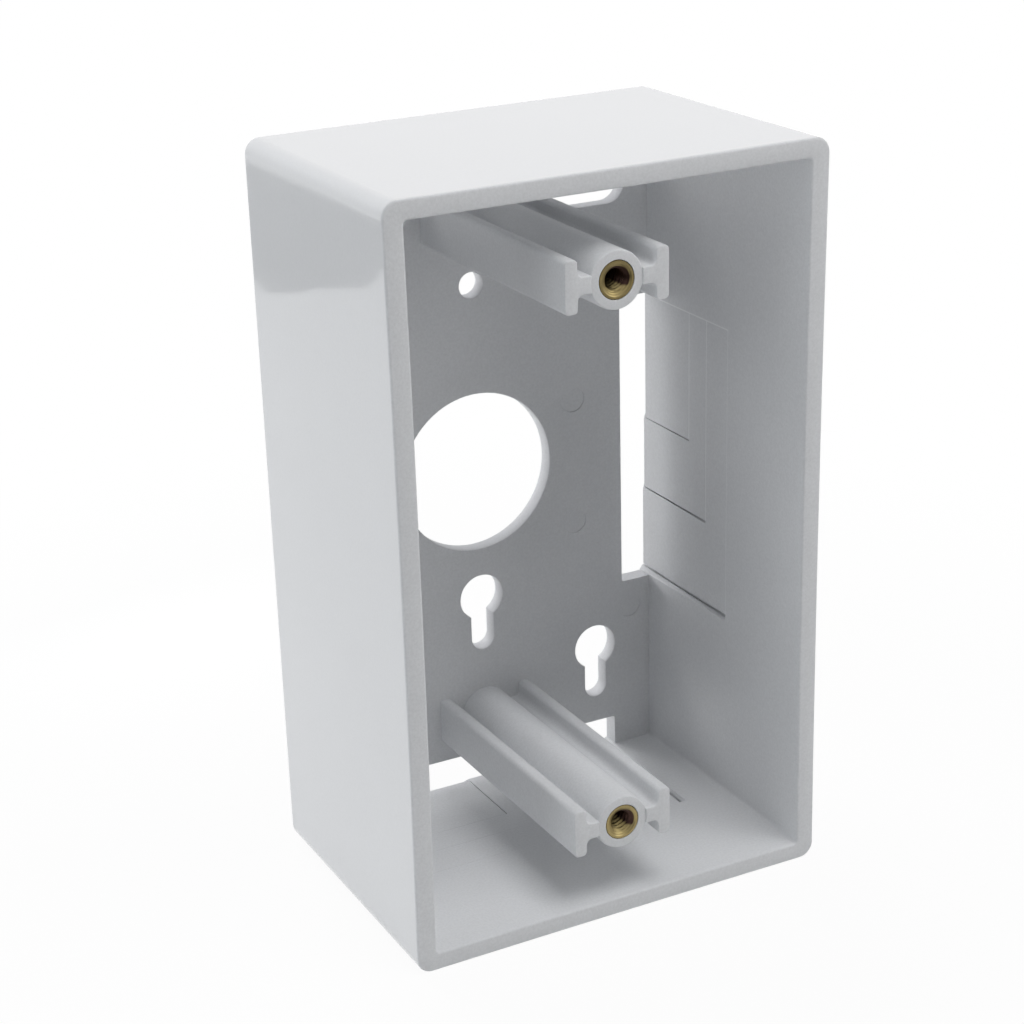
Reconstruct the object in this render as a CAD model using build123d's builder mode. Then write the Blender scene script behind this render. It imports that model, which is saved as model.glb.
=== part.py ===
from build123d import *
import os

os.makedirs("parts", exist_ok=True)

# Frame: the origin is the middle of the back face, which lies on the wall.
# +Z is up as mounted, and the open front looks along -Y. Sizes are in millimetres.

# Outer shell, drafted so that the back is a little smaller than the open front
box_width = 69.2
box_height = 114.3
box_depth = 47.2
outer_draft = 0.3
outer_corner_radius = 2.4
side_wall = 3.05
end_wall = 2.8
back_wall = 2.8
inner_draft = 0.2
inner_corner_radius = 0.6
rim_rounding = 0.35
back_edge_rounding = 0.5

# Screw posts, one near each end: a tube with a web and a flange on either side
insert_spacing = 83.34
post_radius = 4.2
post_setback = 0.25
rib_setback = 0.35
flange_reach = 8.2
flange_thickness = 2.0
flange_height = 7.6
web_thickness = 2.5
rib_rounding = 0.65
post_edge_rounding = 0.25

# Threaded inserts and the holes that hold them
insert_radius = 2.8
insert_length = 9.5
insert_neck_radius = 2.45
insert_neck_length = 1.2
insert_clearance = 0.02
mouth_chamfer = 0.35
thread_radius = 1.75
screw_room_radius = 2.0
screw_room_depth = 26.0

# Openings of the back wall
cable_hole_radius = 13.0
screw_hole_radius = 2.05
screw_hole_z = 30.5
keyhole_head_radius = 3.8
keyhole_slot_width = 4.0
keyhole_drop = 7.1
middle_keyhole_z = -21.4
side_keyhole_x = 20.9
side_keyhole_z = -35.2
window_inner_x = 10.4
window_outer_x = 27.2
window_bottom_z = 39.9
window_height = 7.2
window_corner_radius = 3.0

# Raceway entries: a slot through the back wall along each of the four sides
entry_slot_width = 5.2
entry_slot_length = 49.0

# Nested break-outs, cut into the inner face of each side from its back edge.
# They share one scored line, at breakout_start from the middle of the side. Each ends
# at a slit that widens forwards, and its back edge is bevelled from its own set-back.
# The cutting shapes start cut_start inside the box, clear of the wall.
breakout_start = 24.2
breakout_lengths = (21.1, 33.4, 48.1)
breakout_depths = (15.4, 20.4, 26.4)
breakout_setbacks = (2.1, 1.6, 1.15)
bevel_slope = 0.75
slit_back_width = 0.15
slit_front_widths = (0.25, 0.4, 0.65)
slit_depth = 1.3
score_width = 0.3
score_depth = 0.2
cut_start = 0.5

# Marks of the ejector pins on the inner face of the back wall
pin_mark_radius = 2.1
pin_mark_depth = 0.12
pin_mark_places = ((17.4, 9.0), (17.4, -11.8), (27.6, -29.0))

# Worked out from the sizes above
inner_width = box_width - 2 * side_wall
inner_height = box_height - 2 * end_wall
post_top = box_depth - post_setback
rib_top = post_top - rib_setback
flange_middle = flange_reach - flange_thickness / 2
insert_z = insert_spacing / 2
pocket_bottom = post_top - insert_length
side_entry_x = inner_width / 2 - inner_draft - entry_slot_width / 2
end_entry_z = inner_height / 2 - inner_draft - entry_slot_width / 2
window_x = (window_inner_x + window_outer_x) / 2
window_z = window_bottom_z + window_height / 2
window_width = window_outer_x - window_inner_x
pocket_radius = insert_radius + insert_clearance

back_plane = Plane.XZ
floor_plane = Plane.XZ.offset(back_wall)
front_plane = Plane.XZ.offset(box_depth)

# Planes on the inner face of the right and the top wall, at the shared line of their
# break-outs: x runs forwards from the back edge, y along the wall, z into the wall
right_wall_plane = Plane(
    origin=(inner_width / 2 - inner_draft, 0, breakout_start), x_dir=(0, -1, 0), z_dir=(1, 0, 0)
)
top_wall_plane = Plane(
    origin=(-breakout_start, 0, inner_height / 2 - inner_draft), x_dir=(0, -1, 0), z_dir=(0, 0, 1)
)


def breakout_cuts(wall_plane):
    """Gives the slits, scored lines and bevels of one wall's break-outs, as one cutting part."""
    cut_plane = wall_plane.offset(-cut_start)
    bevel_plane = Plane(wall_plane.origin, x_dir=wall_plane.z_dir, z_dir=wall_plane.y_dir)
    with BuildPart() as cuts:
        for length, depth, setback, slit_front_width in zip(
            breakout_lengths, breakout_depths, breakout_setbacks, slit_front_widths
        ):
            with BuildSketch(cut_plane):
                with BuildLine():
                    Polyline(
                        (0, length - slit_back_width),
                        (depth, length - slit_front_width),
                        (depth, length),
                        (0, length),
                        close=True,
                    )
                make_face()
            extrude(amount=cut_start + slit_depth)
            with BuildSketch(cut_plane):
                Rectangle(depth, score_width, align=(Align.MIN, Align.MIN))
                with Locations((depth - score_width, 0)):
                    Rectangle(score_width, length, align=(Align.MIN, Align.MIN))
            extrude(amount=cut_start + score_depth)
            with BuildSketch(bevel_plane):
                with BuildLine():
                    Polyline(
                        (-cut_start, 0),
                        (bevel_slope * setback, 0),
                        (0, setback),
                        (-cut_start, setback),
                        close=True,
                    )
                make_face()
            extrude(amount=length)
    return cuts.part


side_cuts = breakout_cuts(right_wall_plane)
end_cuts = breakout_cuts(top_wall_plane)

with BuildPart() as box_body:
    # Outer block
    with BuildSketch(back_plane):
        RectangleRounded(
            box_width - 2 * outer_draft, box_height - 2 * outer_draft, outer_corner_radius
        )
    with BuildSketch(front_plane):
        RectangleRounded(box_width, box_height, outer_corner_radius)
    loft(ruled=True)
    back_edges = box_body.faces().sort_by(Axis.Y)[-1].edges()
    fillet(back_edges, back_edge_rounding)

    # Hollow, open at the front
    with BuildSketch(floor_plane):
        RectangleRounded(
            inner_width - 2 * inner_draft, inner_height - 2 * inner_draft, inner_corner_radius
        )
    with BuildSketch(front_plane):
        RectangleRounded(inner_width, inner_height, inner_corner_radius)
    loft(ruled=True, mode=Mode.SUBTRACT)
    rim_edges = box_body.faces().sort_by(Axis.Y)[0].edges()
    fillet(rim_edges, rim_rounding)

    # Webs and flanges of the posts
    with BuildSketch(floor_plane) as ribs:
        for end in (-1, 1):
            with Locations((0, end * insert_z)):
                Circle(post_radius)
                Rectangle(2 * flange_reach, web_thickness)
            with Locations((-flange_middle, end * insert_z), (flange_middle, end * insert_z)):
                Rectangle(flange_thickness, flange_height)
        fillet(ribs.vertices(), rib_rounding)
    extrude(amount=rib_top - back_wall)

    # Tubes of the posts, whose rings stand a little proud of the webs
    with BuildSketch(floor_plane):
        with Locations((0, -insert_z), (0, insert_z)):
            Circle(post_radius)
    extrude(amount=post_top - back_wall)
    ring_edges = (
        box_body.edges()
        .filter_by(GeomType.CIRCLE)
        .filter_by(lambda edge: abs(edge.center().Y + post_top) < post_setback / 10)
    )
    fillet(ring_edges, post_edge_rounding)

    # Insert pockets and the room for the screw tips behind them
    with BuildSketch(Plane.XZ.offset(post_top)):
        with Locations((0, -insert_z), (0, insert_z)):
            Circle(pocket_radius)
    extrude(amount=-insert_length, mode=Mode.SUBTRACT)
    with BuildSketch(Plane.XZ.offset(pocket_bottom)):
        with Locations((0, -insert_z), (0, insert_z)):
            Circle(screw_room_radius)
    extrude(amount=insert_length - screw_room_depth, mode=Mode.SUBTRACT)

    # Openings of the back wall
    with BuildSketch(back_plane):
        Circle(cable_hole_radius)
        with Locations((0, screw_hole_z)):
            Circle(screw_hole_radius)
        with Locations(
            (0, middle_keyhole_z),
            (-side_keyhole_x, side_keyhole_z),
            (side_keyhole_x, side_keyhole_z),
        ):
            Circle(keyhole_head_radius)
        with Locations(
            (0, middle_keyhole_z - keyhole_drop / 2),
            (-side_keyhole_x, side_keyhole_z - keyhole_drop / 2),
            (side_keyhole_x, side_keyhole_z - keyhole_drop / 2),
        ):
            SlotCenterToCenter(keyhole_drop, keyhole_slot_width, rotation=90)
        with Locations((-window_x, window_z), (window_x, window_z)):
            RectangleRounded(window_width, window_height, window_corner_radius)
        with Locations((-side_entry_x, 0), (side_entry_x, 0)):
            Rectangle(entry_slot_width, entry_slot_length)
        with Locations((0, -end_entry_z), (0, end_entry_z)):
            Rectangle(entry_slot_length, entry_slot_width)
    extrude(amount=back_wall, mode=Mode.SUBTRACT)

    # Break-outs of all four walls
    for cuts, mirror_plane in ((side_cuts, Plane.YZ), (end_cuts, Plane.XY)):
        add(cuts, mode=Mode.SUBTRACT)
        mirror(cuts, about=mirror_plane, mode=Mode.SUBTRACT)

    # Ejector pin marks
    with BuildSketch(floor_plane):
        for x, z in pin_mark_places:
            with Locations((-x, z), (x, z)):
                Circle(pin_mark_radius)
    extrude(amount=-pin_mark_depth, mode=Mode.SUBTRACT)

box_body.part.label = "box_body"
export_step(box_body.part, "parts/box_body.step")


# The inserts are turned, with a smooth neck between two knurled bands
insert_names = {"lower_insert": -insert_z, "upper_insert": insert_z}
neck_start = (insert_length - insert_neck_length) / 2
for insert_name, height in insert_names.items():
    insert_plane = Plane(
        origin=(0, -pocket_bottom, height), x_dir=(1, 0, 0), z_dir=(0, 0, 1)
    )
    insert_axis = Axis((0, 0, height), (0, 1, 0))
    with BuildPart() as insert:
        with BuildSketch(insert_plane):
            with BuildLine():
                Polyline(
                    (thread_radius + mouth_chamfer, 0),
                    (insert_radius, 0),
                    (insert_radius, -neck_start),
                    (insert_neck_radius, -neck_start),
                    (insert_neck_radius, -neck_start - insert_neck_length),
                    (insert_radius, -neck_start - insert_neck_length),
                    (insert_radius, -insert_length),
                    (thread_radius + mouth_chamfer, -insert_length),
                    (thread_radius, mouth_chamfer - insert_length),
                    (thread_radius, -mouth_chamfer),
                    close=True,
                )
            make_face()
        revolve(axis=insert_axis)
    insert.part.label = insert_name
    export_step(insert.part, f"parts/{insert_name}.step")
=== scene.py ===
"""Looks of a single-gang surface mount box: a white plastic moulding and two brass screw inserts.

Sizes are in millimetres and angles in degrees unless a name says otherwise. The origin is the
middle of the back face, +Z is up and the open front looks along -Y. Depth is counted forwards
from the back face, so a point at depth d has y = -d.
"""

import logging
from dataclasses import dataclass, field
from enum import Enum
from typing import Sequence

import bmesh
import bpy
import numpy as np
from mathutils import Matrix, Vector

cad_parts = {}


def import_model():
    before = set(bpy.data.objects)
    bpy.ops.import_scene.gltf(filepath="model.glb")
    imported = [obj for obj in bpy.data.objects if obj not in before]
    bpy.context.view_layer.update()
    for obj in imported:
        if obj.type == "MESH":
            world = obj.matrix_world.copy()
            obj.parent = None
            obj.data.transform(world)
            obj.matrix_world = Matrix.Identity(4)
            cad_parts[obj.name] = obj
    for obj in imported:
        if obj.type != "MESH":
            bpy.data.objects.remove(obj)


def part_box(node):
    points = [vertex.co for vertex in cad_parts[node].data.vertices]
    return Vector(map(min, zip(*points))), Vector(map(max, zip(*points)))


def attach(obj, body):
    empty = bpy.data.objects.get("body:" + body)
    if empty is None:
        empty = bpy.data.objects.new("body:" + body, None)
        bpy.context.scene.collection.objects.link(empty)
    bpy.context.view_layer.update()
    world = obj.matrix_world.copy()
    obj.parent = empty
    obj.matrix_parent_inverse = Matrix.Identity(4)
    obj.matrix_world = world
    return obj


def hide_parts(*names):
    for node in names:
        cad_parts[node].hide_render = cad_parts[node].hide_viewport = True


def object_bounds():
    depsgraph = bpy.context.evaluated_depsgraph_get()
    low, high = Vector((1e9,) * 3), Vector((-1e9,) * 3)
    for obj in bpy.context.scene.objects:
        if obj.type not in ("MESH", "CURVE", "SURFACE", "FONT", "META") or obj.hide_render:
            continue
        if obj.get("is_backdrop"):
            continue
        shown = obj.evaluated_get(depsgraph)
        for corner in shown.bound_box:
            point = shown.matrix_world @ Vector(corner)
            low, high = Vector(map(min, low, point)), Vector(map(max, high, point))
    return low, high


LOG = logging.getLogger("surface_mount_box")
MM = 0.001
PAINTED_GLOW = "painted_glow"
UNEVENNESS_INPUTS = ("Drift Scale", "Grain Scale", "Ripple")
UNEVENNESS_OUTPUTS = ("Tone", "Grain", "Height")
QUARTER = np.pi / 2
TURN = 2 * np.pi
CRISP = 0.02
NEAR = 1e-6
SHORTEST = 1e-9
SPIKE_LIMIT = 0.2
Array = np.ndarray
Pair = tuple[float, float]
Triple = tuple[float, float, float]
Material = bpy.types.Material
NodeTree = bpy.types.NodeTree
Socket = bpy.types.NodeSocket
Value = Socket | float | tuple


class Slot(Enum):
    """Material slots of the part's record."""

    PLASTIC = "white_plastic"
    BRASS = "insert_brass"


class Node(Enum):
    """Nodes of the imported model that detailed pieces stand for."""

    BODY = "box_body"
    UPPER_INSERT = "upper_insert"
    LOWER_INSERT = "lower_insert"


def quarter_steps(count: int) -> Array:
    """Gives evenly spaced angles from 0 to a quarter turn, ends included, in radians."""
    return np.linspace(0.0, QUARTER, count)


def rounding(steps: int) -> tuple[Array, Array]:
    """Gives 1 - cos t and 1 - sin t over a quarter turn, for an edge of radius 1."""
    angle = quarter_steps(steps)
    return 1 - np.cos(angle), 1 - np.sin(angle)


def on_circle(angle: Array) -> Array:
    """Gives the points at those angles on a circle of radius 1, one row each."""
    return np.column_stack((np.cos(angle), np.sin(angle)))


def filleted_outline(corners: Array, radii: Array, steps: int) -> Array:
    """Rounds each corner of a closed polygon with an arc tangent to both of its sides.

    The arc runs between the two tangent points, at radius / tan(half the corner's angle) from
    the corner, and its points are the spherical blend of the two radii that end there.

    Args:
        corners: The polygon's corners, one row of x and z each.
        radii: The radius of each corner.
        steps: Points on each arc.

    Returns:
        The points of the outline, in order.
    """
    to_last = np.roll(corners, 1, axis=0) - corners
    to_next = np.roll(corners, -1, axis=0) - corners
    to_last /= np.linalg.norm(to_last, axis=1, keepdims=True)
    to_next /= np.linalg.norm(to_next, axis=1, keepdims=True)
    half = np.arccos(np.clip((to_last * to_next).sum(axis=1), -1.0, 1.0)) / 2
    middle = to_last + to_next
    middle /= np.linalg.norm(middle, axis=1, keepdims=True)
    centre = corners + middle * (radii / np.sin(half))[:, None]
    reach = (radii / np.tan(half))[:, None]
    start = corners + to_last * reach - centre
    end = corners + to_next * reach - centre
    sweep = (np.pi - 2 * half)[:, None]
    along = np.linspace(0.0, 1.0, steps)[None, :]
    blend_start = np.sin((1 - along) * sweep) / np.sin(sweep)
    blend_end = np.sin(along * sweep) / np.sin(sweep)
    arcs = (
        centre[:, None, :]
        + blend_start[..., None] * start[:, None, :]
        + blend_end[..., None] * end[:, None, :]
    )
    return arcs.reshape(-1, 2)


def circle_outline(centre: Pair, radius: float, steps: int) -> Array:
    """Gives the points of a circle.

    Args:
        centre: Its x and z.
        radius: Its radius.
        steps: Number of points.

    Returns:
        The points, one row of x and z each.
    """
    angle = np.linspace(0.0, TURN, steps, endpoint=False)
    return np.array(centre) + radius * on_circle(angle)


def outward_normals(outline: Array) -> Array:
    """Gives the outward offset direction at each point of a closed outline.

    The direction halves the angle between the two sides that meet there, and is as long as
    keeps both sides at unit distance, up to five times that at a very sharp corner.

    Args:
        outline: The points, one row of x and z each, in either sense.

    Returns:
        One direction for each point.
    """
    side = np.roll(outline, -1, axis=0) - outline
    side /= np.maximum(np.linalg.norm(side, axis=1, keepdims=True), SHORTEST)
    following = np.column_stack((side[:, 1], -side[:, 0]))
    before = np.roll(following, 1, axis=0)
    middle = following + before
    middle /= np.maximum((middle * following).sum(axis=1, keepdims=True), SPIKE_LIMIT)
    x, z = outline[:, 0], outline[:, 1]
    area = np.sum(x * np.roll(z, -1) - np.roll(x, -1) * z)
    return middle * np.sign(area)


def add_object(name: str, data: bpy.types.ID) -> bpy.types.Object:
    """Adds an object to the scene.

    Args:
        name: Its name.
        data: Its mesh, lamp or camera.

    Returns:
        The object.
    """
    added = bpy.data.objects.new(name, data)
    bpy.context.scene.collection.objects.link(added)
    return added


@dataclass
class SurfaceMesh:
    """Collects parametric surfaces and turns them into one object with outward faces.

    Attributes:
        name: Name of the finished piece.
        sharp_angle: Edges that turn by more than this stay crisp.
        merge_gap: Points closer than this, in metres, are merged.
        short_edge: Edges shorter than this, in metres, are dissolved.
    """

    name: str
    sharp_angle: float = 32.0
    merge_gap: float = 1e-7
    short_edge: float = 1e-8
    points: list[Array] = field(default_factory=list)
    faces: list[Array] = field(default_factory=list)
    painted_glow: list[Array] = field(default_factory=list)
    count: int = 0

    def add_grid(
        self,
        grid: Array,
        wrap_rows: bool = False,
        wrap_columns: bool = True,
        painted_glow: Array | float = 0.0,
    ) -> None:
        """Adds a surface given as a grid of points.

        Args:
            grid: Points in rows and columns, with x, y and z last.
            wrap_rows: Joins the last row to the first.
            wrap_columns: Joins the last column to the first.
            painted_glow: Painted light: 1 where a lighter colour is painted for light that would
                come through a thin wall, and else 0.
        """
        rows, columns = grid.shape[:2]
        index = np.arange(rows * columns).reshape(rows, columns) + self.count
        if wrap_rows:
            index = np.vstack((index, index[:1]))
        if wrap_columns:
            index = np.hstack((index, index[:, :1]))
        quads = np.stack(
            (index[:-1, :-1], index[:-1, 1:], index[1:, 1:], index[1:, :-1]), axis=-1
        )
        self.points.append(grid.reshape(-1, 3))
        self.painted_glow.append(np.broadcast_to(painted_glow, (rows, columns)).ravel())
        self.faces.append(quads.reshape(-1, 4))
        self.count += rows * columns

    def build(self, dressing: Material, slot: Slot, replaced: Node) -> None:
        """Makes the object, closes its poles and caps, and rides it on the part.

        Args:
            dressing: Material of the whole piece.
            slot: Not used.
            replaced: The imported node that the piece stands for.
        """
        points = np.vstack(self.points) * MM
        faces = np.vstack(self.faces)
        mesh = bpy.data.meshes.new(self.name)
        mesh.vertices.add(len(points))
        mesh.vertices.foreach_set("co", points.astype(np.float32).ravel())
        mesh.loops.add(faces.size)
        mesh.loops.foreach_set("vertex_index", faces.astype(np.int32).ravel())
        mesh.polygons.add(len(faces))
        mesh.polygons.foreach_set("loop_start", np.arange(0, faces.size, 4, dtype=np.int32))
        mesh.update(calc_edges=True)
        painted_glow = mesh.attributes.new(PAINTED_GLOW, "FLOAT", "POINT")
        painted_glow.data.foreach_set("value", np.concatenate(self.painted_glow).astype(np.float32))
        mesh.validate()
        self.close(mesh)
        mesh.shade_smooth()
        mesh.set_sharp_from_angle(angle=np.radians(self.sharp_angle))
        mesh.materials.append(dressing)
        piece = add_object(self.name, mesh)
        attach(piece, "root")
        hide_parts(replaced.value)
        LOG.info("%s: %d faces", self.name, len(mesh.polygons))

    def close(self, mesh: bpy.types.Mesh) -> None:
        """Merges doubled points, fills flat ends with their holes, and turns the faces outwards.

        Args:
            mesh: The mesh to close.
        """
        shape = bmesh.new()
        shape.from_mesh(mesh)
        bmesh.ops.remove_doubles(shape, verts=shape.verts, dist=self.merge_gap)
        bmesh.ops.dissolve_degenerate(shape, edges=shape.edges, dist=self.short_edge)
        open_edges = [edge for edge in shape.edges if edge.is_boundary]
        depths = {round(edge.verts[0].co.y, 7) for edge in open_edges}
        for depth in sorted(depths):
            ring = [edge for edge in open_edges if abs(edge.verts[0].co.y - depth) < NEAR]
            bmesh.ops.triangle_fill(shape, edges=ring, use_beauty=True, use_dissolve=False)
        bmesh.ops.recalc_face_normals(shape, faces=shape.faces)
        shape.to_mesh(mesh)
        shape.free()


def extruded_rows(
    outline: Array,
    back: float,
    front: float,
    back_edge: float,
    front_edge: float,
    is_hole: bool = False,
    steps: int = 4,
) -> Array:
    """Extrudes an outline along the depth, with both of its edges rounded.

    At each rounded edge the outline is drawn in by r(1 - sin t) at r(1 - cos t) from the end.

    Args:
        outline: The outline's points.
        back: Depth of the back end.
        front: Depth of the front end.
        back_edge: Radius of the back edge.
        front_edge: Radius of the front edge.
        is_hole: Whether the solid lies outside the outline, which then widens at its edges.
        steps: Rows on each rounded edge.

    Returns:
        A grid of points, one row for each depth.
    """
    rise, fall = rounding(steps)
    inset = np.concatenate((back_edge * fall, front_edge * rise))
    depth = np.concatenate((back + back_edge * rise, front - front_edge * fall))
    sense = -1.0 if is_hole else 1.0
    flat = outline[None] - sense * inset[:, None, None] * outward_normals(outline)[None]
    y = np.broadcast_to(-depth[:, None], flat.shape[:2])
    return np.stack((flat[..., 0], y, flat[..., 1]), axis=-1)


def turned(radius: Array, depth: Array, height: float, columns: int) -> Array:
    """Turns a profile about a line along the depth.

    Args:
        radius: Radius in each row, and in each column too where it changes round the turn.
        depth: Depth of each row.
        height: z of the line, which lies at x = 0.
        columns: Points round the turn.

    Returns:
        A grid of points, one row for each row of the profile.
    """
    angle = np.linspace(0.0, TURN, columns, endpoint=False)[None, :]
    radius = np.broadcast_to(radius, (len(depth), columns))
    x, z = radius * np.cos(angle), height + radius * np.sin(angle)
    return np.stack((x, np.broadcast_to(-depth, x.shape), z), axis=-1)


@dataclass(frozen=True)
class Panel:
    """One break-out panel: its size, its bevelled back edge and the slit along its far side.

    Each pair gives a width at the back edge and at the front end, between which it runs evenly.

    Attributes:
        length: How far it runs along the side.
        reach: How far it runs forwards.
        setback: Where its bevel starts, from the back edge.
        slit: Widths of the slit.
        lip: Widths of the chamfer past the slit.
        lip_depth: Depth of that chamfer at the slit.
        painted_glow: How much painted light its front score gets, for light that would come
            through its thin wall.
    """

    length: float
    reach: float
    setback: float
    slit: Pair
    lip: Pair
    lip_depth: float
    painted_glow: float


@dataclass
class Breakouts:
    """Nested break-out panels of one side, which share the scored line that they start from."""

    start: float = 24.2
    panels: tuple[Panel, ...] = (
        Panel(21.1, 15.4, 2.1, (0.14, 0.22), (0.20, 0.02), 0.06, 1.0),
        Panel(33.44, 20.4, 1.6, (0.30, 0.40), (0.35, 0.04), 0.12, 0.9),
        Panel(47.92, 26.4, 1.15, (0.76, 0.90), (0.65, 0.30), 0.45, 0.45),
    )
    slit_depth: float = 1.3
    slit_flank: float = 0.03
    slit_end: float = 0.01
    slit_slant: float = 0.6
    bevel_slope: float = 0.75
    score_half_width: float = 0.17
    score_depth: float = 0.035
    hold: float = 0.05

    def slit_edges(self, panel: Panel, depth: Array) -> tuple[Array, ...]:
        """Gives where a panel's slit begins, where it ends, and where the lip below it ends.

        Args:
            panel: The panel.
            depth: Depths at which the places are wanted.

        Returns:
            Three distances along the side, counted from the shared line.
        """
        share = np.clip(depth / panel.reach, 0.0, 1.0)
        width = panel.slit[0] + (panel.slit[1] - panel.slit[0]) * share
        lip = panel.lip[0] + (panel.lip[1] - panel.lip[0]) * share
        middle = panel.length - panel.slit[1] / 2
        return middle - width / 2, middle + width / 2, middle + width / 2 + lip

    def along_lines(self, depth: Array) -> tuple[Array, Array, Array]:
        """Gives the grid lines across the side and how deep each slit, lip and score is there.

        A slit slants away from the shared line on its way into the wall. The slant follows half
        a sine wave along the slit, so that its two ends are square.

        Args:
            depth: The depth of each row.

        Returns:
            Distances along the side, depths of the cut and the slant's shifts of the slits'
            bottoms, all in rows and columns.
        """
        nought = 0.0 * depth
        half = self.score_half_width
        held = half + self.hold
        places = [nought + place for place in (-held, -half, 0.0, half, held)]
        on_score = depth < max(panel.reach for panel in self.panels)
        cuts = [nought, nought, np.where(on_score, self.score_depth, 0.0), nought, nought]
        shifts = [nought] * len(places)
        for panel in self.panels:
            first, last, lip_end = self.slit_edges(panel, depth)
            flank = self.slit_flank
            places += [first - self.hold, first, first + flank, last - flank, last]
            places += [lip_end, lip_end + self.hold]
            is_open = np.where(depth < panel.reach, 1.0, 0.0)
            bottom, lip = is_open * self.slit_depth, is_open * panel.lip_depth
            cuts += [nought, nought, bottom, bottom, lip, nought, nought]
            wave = np.sin(np.pi * np.clip(depth / panel.reach, 0.0, 1.0))
            shift = self.slit_slant * (self.slit_depth - panel.lip_depth) * wave
            shifts += [nought, nought, shift, shift, nought, nought, nought]
        return np.column_stack(places), np.column_stack(cuts), np.column_stack(shifts)

    def depth_lines(self) -> Array:
        """Gives the grid lines along the depth: back edges, fronts of slits, and front scores.

        Returns:
            The depths, panel by panel.
        """
        half, held = self.score_half_width, self.score_half_width + self.hold
        lines = [0.0]
        for panel in self.panels:
            score = np.array((-held, -half, -self.slit_end, 0.0, half, held)) + panel.reach
            lines += [panel.setback, *score]
        return np.array(lines)

    def score_and_bevel(self, along: Array, depth: Array) -> Array:
        """Gives the V of the front scores and the bevel at the back, whichever is deeper.

        A score's depth falls off in a straight line on both sides of its middle. The bevel runs
        from the panel's set-back to the back edge and goes bevel_slope into the wall for each
        unit of that way.

        Args:
            along: Distance along the side from the shared line.
            depth: Depth of each point.

        Returns:
            How far each point is cut into the wall.
        """
        cut = np.zeros(np.broadcast(along, depth).shape)
        for panel in self.panels:
            inside = (along > -NEAR) & (along < self.slit_edges(panel, depth)[1] - NEAR)
            score = np.clip(1 - np.abs(depth - panel.reach) / self.score_half_width, 0.0, 1.0)
            bevel = np.clip(panel.setback - depth, 0.0, None) * self.bevel_slope
            cut = np.maximum(cut, inside * np.maximum(score * self.score_depth, bevel))
        return cut

    def painted_glow_lines(self, along: Array, depth: Array) -> Array:
        """Gives painted light: 1 at the bottom of every score, falling in straight lines to 0 at
        its edges.

        Args:
            along: Distance along the side from the shared line.
            depth: Depth of each point.

        Returns:
            How much painted light each point gets, for light that would come through the thin
            wall.
        """
        half, largest = self.score_half_width, max(panel.reach for panel in self.panels)
        glowing = np.clip(1 - np.abs(along) / half, 0.0, 1.0) * (depth < largest + NEAR)
        for panel in self.panels:
            inside = (along > -NEAR) & (along < self.slit_edges(panel, depth)[0] - NEAR)
            front = np.clip(1 - np.abs(depth - panel.reach) / half, 0.0, 1.0)
            glowing = np.maximum(glowing, panel.painted_glow * inside * front)
        return glowing


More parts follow.
